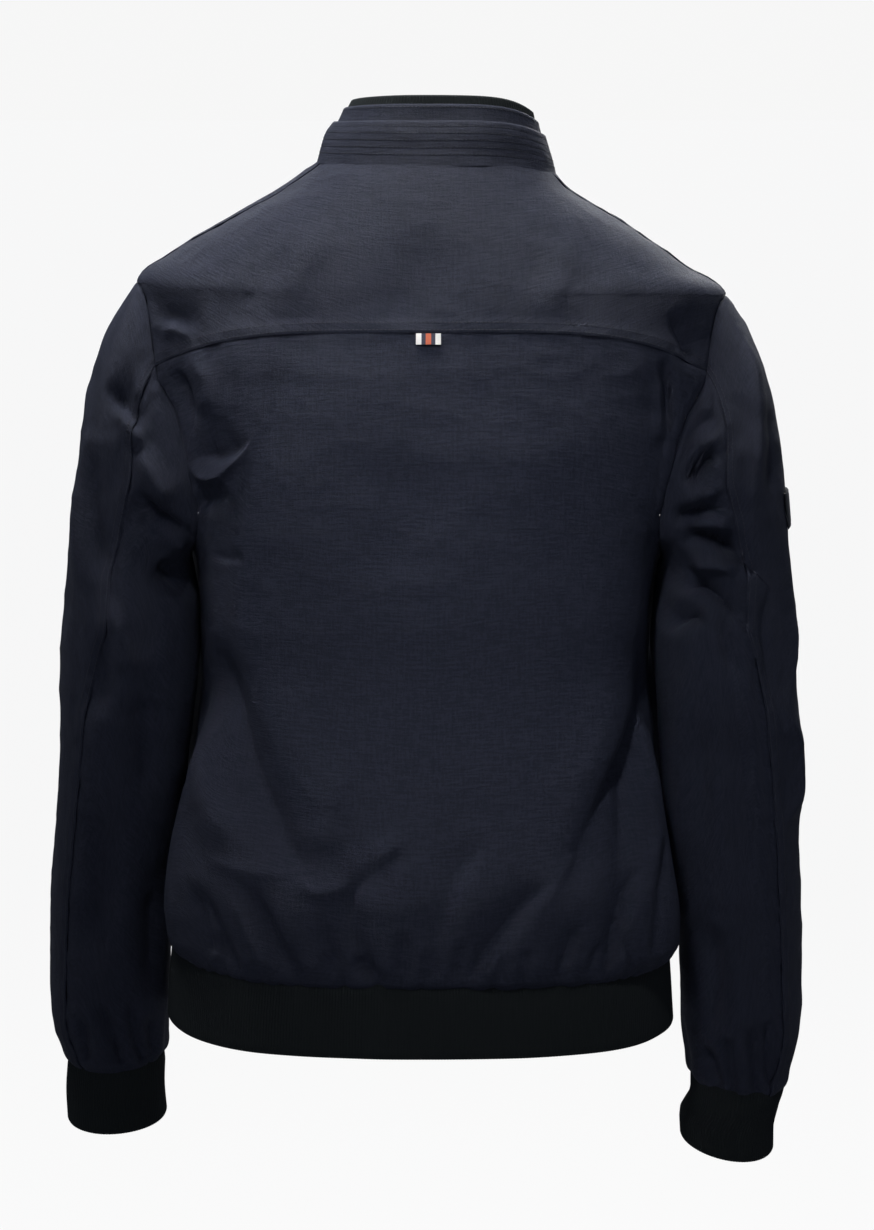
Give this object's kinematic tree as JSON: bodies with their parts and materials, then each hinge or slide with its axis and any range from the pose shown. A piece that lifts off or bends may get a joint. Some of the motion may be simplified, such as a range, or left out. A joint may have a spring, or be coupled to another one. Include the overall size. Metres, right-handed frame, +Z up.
{
  "type": "harrington jacket",
  "caption": "Worn-form harrington jacket: hollow blouson with a stand collar, back yoke, two-piece sleeves, front zip and knitted cuffs and hem band.",
  "frame": {"origin": "centre of the neck seam, where the wearer's neck and shoulders hold the jacket", "axes": "+Z up along the body, +X to the wearer's left, the wearer faces -Y"},
  "size_m": [0.5974, 0.2901, 0.8424],
  "materials": {
    "navy_cloth": "fine plain weave with a soft sheen",
    "dark_rib": "fine rib knit, matt",
    "zip_tape": "woven tape, matt",
    "dark_metal": "dark plated metal, satin",
    "striped_tab": "striped woven tape",
    "patch": "plain moulded patch, satin"
  },
  "bodies": {
    "jacket": {"back_panel": "navy_cloth", "back_yoke": "navy_cloth", "front_left": "navy_cloth", "front_right": "navy_cloth", "sleeve_left_top": "navy_cloth", "sleeve_left_under": "navy_cloth", "sleeve_right_top": "navy_cloth", "sleeve_right_under": "navy_cloth", "cuff_left": "dark_rib", "cuff_right": "dark_rib", "hem_rib": "dark_rib", "collar_stand": "navy_cloth", "collar_band": "navy_cloth", "collar_rib": "dark_rib", "zip_tape_left": "zip_tape", "zip_tape_right": "zip_tape", "zip_slider": "dark_metal", "zip_box": "dark_metal", "pocket_welt_left": "navy_cloth", "pocket_welt_right": "navy_cloth", "yoke_tab": "striped_tab", "sleeve_patch": "patch"},
    "pull_tab": {"zip_pull": "dark_metal"}
  },
  "joints": [
    {"name": "pull_tab_hinge", "type": "hinge", "parent": "jacket", "child": "pull_tab", "pos_m": [0, -0.07165, -0.03617], "axis": [-1, 0, 0], "range_deg": [0, 160]}
  ]
}
